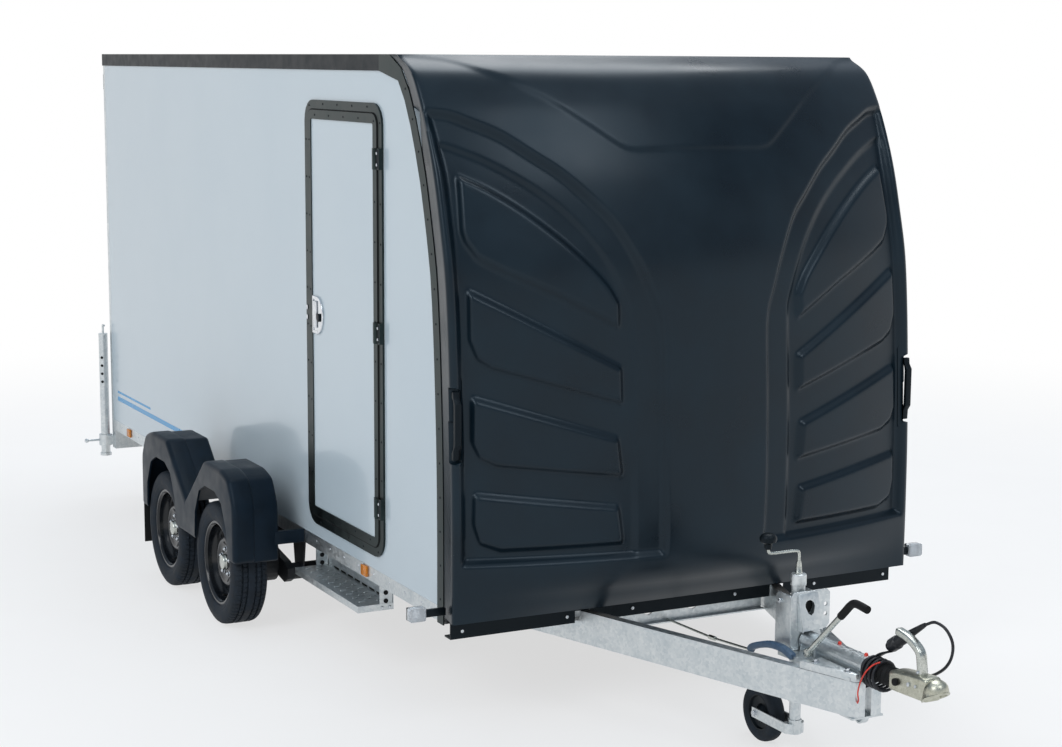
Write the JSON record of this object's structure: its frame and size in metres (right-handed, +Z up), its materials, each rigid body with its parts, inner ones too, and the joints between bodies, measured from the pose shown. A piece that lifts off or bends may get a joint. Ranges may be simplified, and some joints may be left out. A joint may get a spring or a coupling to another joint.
{
  "type": "enclosed cargo trailer",
  "caption": "Tall enclosed box trailer on a tandem axle, with a bowed moulded front, side door, rear ramp, double-arch mudguards and a V drawbar with jockey wheel.",
  "frame": {"origin": "centre of the bounding box's footprint, at ground level", "axes": "+Y towards the rear ramp, +Z up, side door on -X"},
  "size_m": [2.55, 5.965, 2.398],
  "materials": {
    "birch_plywood": "film-faced plywood",
    "black_axle": "satin black",
    "black_moulding": "satin moulded plastic",
    "black_rim": "gloss black",
    "black_trim": "satin black",
    "chrome": "bright chrome",
    "clear_lens": "clear lens",
    "galvanised_steel": "hot-dip galvanised",
    "red_lens": "red lens",
    "tyre_rubber": "matt rubber",
    "white_panel": "gloss white faced sandwich panel",
    "zinc_casting": "zinc plated"
  },
  "bodies": {
    "trailer": {"axle_front": "black_axle", "axle_rear": "black_axle", "corner_lamp_left": "clear_lens", "corner_lamp_right": "clear_lens", "coupling_base": "galvanised_steel", "coupling_head": "zinc_casting", "cross_member_holed": "galvanised_steel", "cross_member_middle": "galvanised_steel", "cross_member_rear": "galvanised_steel", "door_frame": "black_trim", "door_step": "galvanised_steel", "drawbar_beam_left": "galvanised_steel", "drawbar_beam_right": "galvanised_steel", "floor": "birch_plywood", "front_skirt": "black_trim", "front_trim_left": "black_trim", "front_trim_right": "black_trim", "grab_handle_left": "black_trim", "grab_handle_right": "black_trim", "jockey_bracket": "galvanised_steel", "jockey_crank": "galvanised_steel", "jockey_outer_tube": "galvanised_steel", "mudguard_left": "black_trim", "mudguard_right": "black_trim", "nose": "black_moulding", "overrun_bellows": "black_trim", "overrun_housing": "galvanised_steel", "rear_portal": "galvanised_steel", "roof": "white_panel", "roof_rail_left": "black_trim", "roof_rail_right": "black_trim", "side_rail_left": "galvanised_steel", "side_rail_right": "galvanised_steel", "stand_clamp_left": "galvanised_steel", "stand_clamp_right": "galvanised_steel", "tail_lamp_left": "red_lens", "tail_lamp_right": "red_lens", "tow_loop": "galvanised_steel", "trailer_cable": "black_trim", "wall_left": "white_panel", "wall_right": "white_panel"},
    "wheel_front_left": {"tyre_front_left": "tyre_rubber", "rim_front_left": "black_rim"},
    "wheel_front_right": {"tyre_front_right": "tyre_rubber", "rim_front_right": "black_rim"},
    "wheel_rear_left": {"tyre_rear_left": "tyre_rubber", "rim_rear_left": "black_rim"},
    "wheel_rear_right": {"tyre_rear_right": "tyre_rubber", "rim_rear_right": "black_rim"},
    "side_door": {"side_door": "white_panel", "door_trim": "black_trim", "door_lock": "chrome"},
    "rear_ramp": {"rear_ramp": "white_panel"},
    "jockey_leg": {"jockey_inner_tube": "galvanised_steel"},
    "jockey_fork": {"jockey_fork": "galvanised_steel"},
    "jockey_wheel": {"jockey_wheel": "tyre_rubber"},
    "brake_lever": {"brake_lever": "galvanised_steel"},
    "prop_stand_left": {"prop_stand_left": "galvanised_steel"},
    "prop_stand_right": {"prop_stand_right": "galvanised_steel"}
  },
  "joints": [
    {"name": "wheel_front_left_spin", "type": "hinge", "parent": "trailer", "child": "wheel_front_left", "pos_m": [1.1825, 0.2945, 0.2625], "axis": [1, 0, 0], "continuous": true},
    {"name": "wheel_rear_left_spin", "type": "hinge", "parent": "trailer", "child": "wheel_rear_left", "pos_m": [1.1825, 0.9965, 0.2625], "axis": [1, 0, 0], "continuous": true},
    {"name": "wheel_front_right_spin", "type": "hinge", "parent": "trailer", "child": "wheel_front_right", "pos_m": [-1.1825, 0.2945, 0.2625], "axis": [1, 0, 0], "continuous": true},
    {"name": "wheel_rear_right_spin", "type": "hinge", "parent": "trailer", "child": "wheel_rear_right", "pos_m": [-1.1825, 0.9965, 0.2625], "axis": [1, 0, 0], "continuous": true},
    {"name": "side_door_hinge", "type": "hinge", "parent": "trailer", "child": "side_door", "pos_m": [-0.9823, -0.82, 1.36], "axis": [0, 0, 1], "range_deg": [0, 115]},
    {"name": "rear_ramp_hinge", "type": "hinge", "parent": "trailer", "child": "rear_ramp", "pos_m": [0, 2.9165, 0.449], "axis": [-1, 0, 0], "range_deg": [0, 104]},
    {"name": "jockey_leg_slide", "type": "slide", "parent": "trailer", "child": "jockey_leg", "axis": [0, 0, 1], "range_m": [-0.15, 0.045]},
    {"name": "jockey_swivel", "type": "hinge", "parent": "jockey_leg", "child": "jockey_fork", "pos_m": [0, -2.1875, 0.135], "axis": [0, 0, 1], "continuous": true},
    {"name": "jockey_wheel_spin", "type": "hinge", "parent": "jockey_fork", "child": "jockey_wheel", "pos_m": [0, -1.9975, 0.105], "axis": [1, 0, 0], "continuous": true},
    {"name": "brake_lever_pivot", "type": "hinge", "parent": "trailer", "child": "brake_lever", "pos_m": [-0.075, -2.3575, 0.426], "axis": [-1, 0, 0], "range_deg": [-15, 50]},
    {"name": "prop_stand_left_slide", "type": "slide", "parent": "trailer", "child": "prop_stand_left", "axis": [0, 0, -1], "range_m": [0, 0.225]},
    {"name": "prop_stand_right_slide", "type": "slide", "parent": "trailer", "child": "prop_stand_right", "axis": [0, 0, -1], "range_m": [0, 0.225]}
  ]
}
